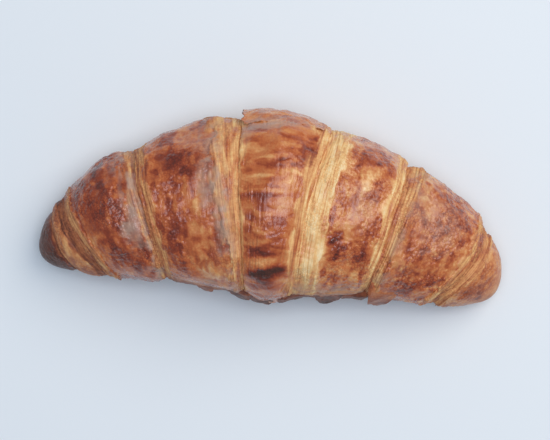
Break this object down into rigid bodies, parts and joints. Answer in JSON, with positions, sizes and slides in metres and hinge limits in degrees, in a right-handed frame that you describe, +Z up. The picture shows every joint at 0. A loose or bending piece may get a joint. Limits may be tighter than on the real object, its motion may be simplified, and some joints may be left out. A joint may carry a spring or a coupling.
{
  "type": "croissant",
  "caption": "Baked butter croissant, gently curved and tapered, with stepped rolled turns, flaky cut edges and a flat base to rest on.",
  "frame": {"origin": "middle of the bounding box, on the flat base that lies on the table", "axes": "+X along the croissant towards its right tip, +Y towards its rounded back, +Z up from the table"},
  "size_m": [0.1696, 0.0719, 0.0488],
  "materials": {
    "baked_crust": "egg-washed and browned, with a soft gloss"
  },
  "bodies": {
    "root": {"croissant": "baked_crust"}
  },
  "joints": []
}
